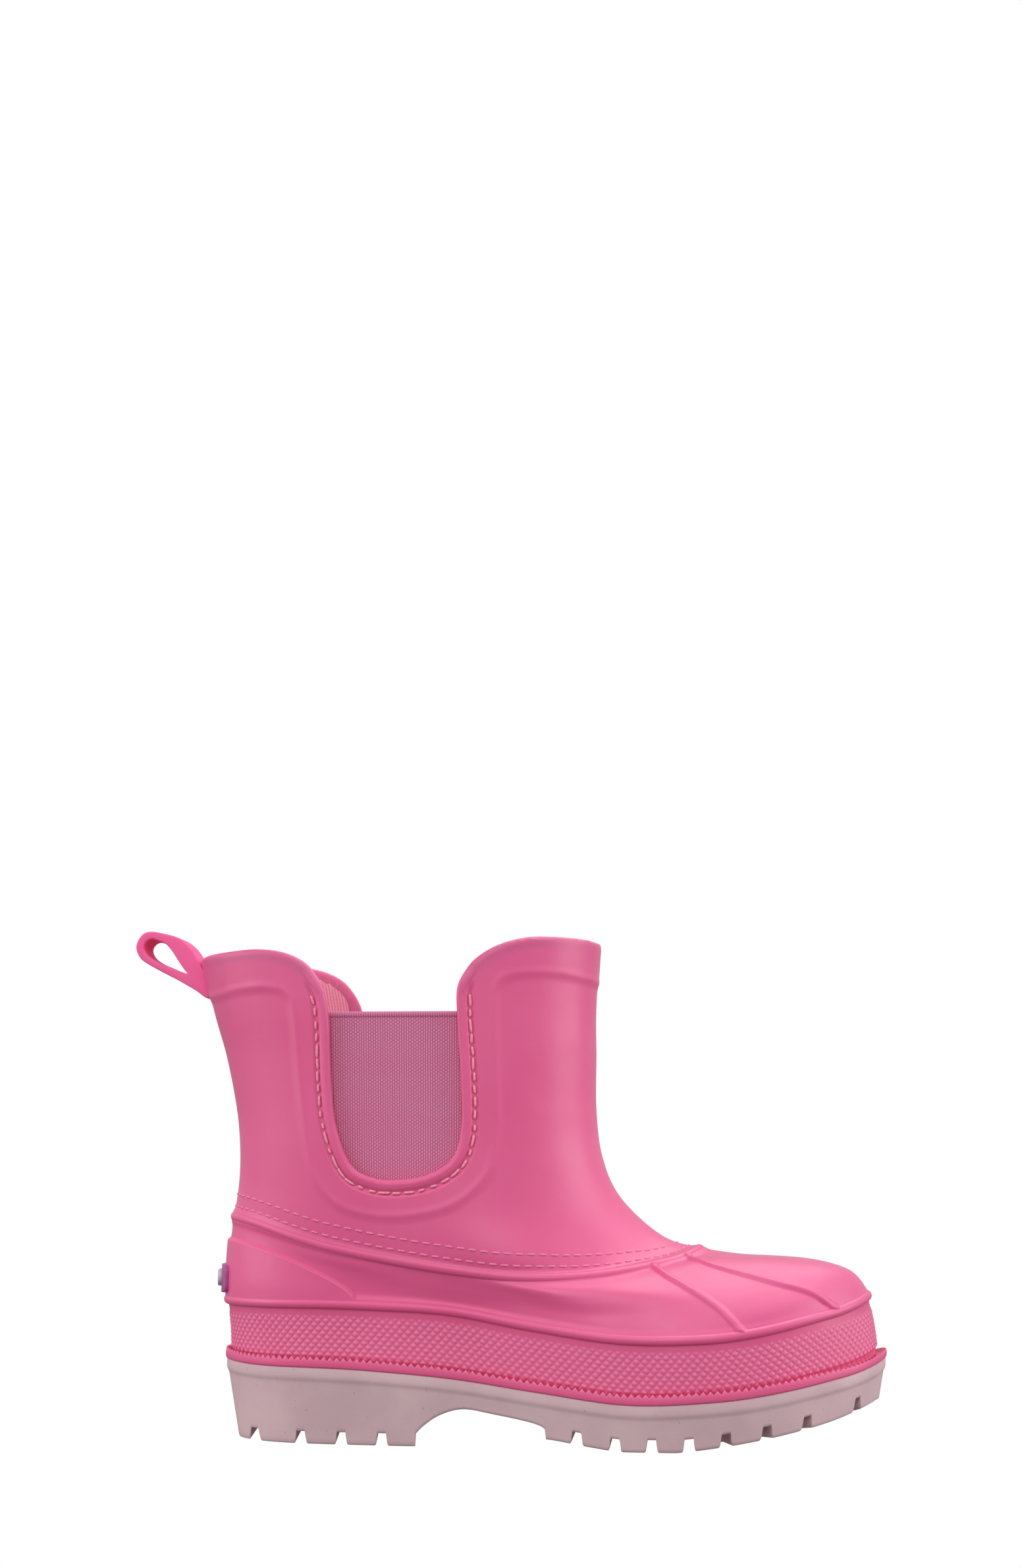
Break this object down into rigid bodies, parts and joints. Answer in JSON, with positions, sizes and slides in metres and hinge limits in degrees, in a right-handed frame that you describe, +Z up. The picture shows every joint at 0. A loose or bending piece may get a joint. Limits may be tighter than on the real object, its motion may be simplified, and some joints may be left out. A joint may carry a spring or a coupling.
{
  "type": "rain boot",
  "caption": "Child's ankle rain boot with elastic side panels, a pull loop at the heel, a textured side band and a lugged tread.",
  "frame": {"origin": "on the ground, under the middle of the boot's box", "axes": "+X from heel to toe, +Y towards the inner side of the foot, +Z up"},
  "size_m": [0.2233, 0.0836, 0.1503],
  "materials": {
    "pink_rubber": "smooth satin rubber",
    "pink_rubber_textured": "rubber moulded with small diamonds or teeth",
    "pale_rubber": "matt rubber",
    "badge_purple": "smooth",
    "badge_grey": "smooth",
    "elastic": "woven elastic webbing",
    "thread": "twisted sewing thread",
    "lining_knit": "ribbed knit",
    "footbed_fabric": "brushed fabric over foam",
    "board": "pressed fibre board",
    "foam": "foam rubber"
  },
  "bodies": {
    "boot": {"outsole": "pale_rubber", "welt_strip": "pink_rubber_textured", "foxing_band": "pink_rubber_textured", "foxing_piping": "pink_rubber", "lower_shell": "pink_rubber", "seam_piping": "pink_rubber", "heel_counter_overlay": "pink_rubber", "heel_badge_plate": "badge_purple", "heel_badge_emblem": "badge_grey", "shaft_upper": "pink_rubber", "gore_lateral": "elastic", "gore_medial": "elastic", "gore_rim_lateral": "pink_rubber", "gore_rim_medial": "pink_rubber", "gore_stitching_lateral": "thread", "gore_stitching_medial": "thread", "sock_lining": "lining_knit", "insole_board": "board", "heel_filler": "foam"},
    "pull_loop": {"pull_loop": "pink_rubber"},
    "footbed": {"footbed": "footbed_fabric"}
  },
  "joints": [
    {"name": "loop_flex", "type": "hinge", "parent": "boot", "child": "pull_loop", "pos_m": [-0.092, 0.00015, 0.1372], "axis": [0, 1, 0], "range_deg": [-35, 30], "stiffness_Nm_per_rad": 0.02},
    {"name": "footbed_lift", "type": "hinge", "parent": "boot", "child": "footbed", "pos_m": [0.1012, 0.00015, 0.0269], "axis": [0, 1, 0], "range_deg": [0, 10]}
  ]
}
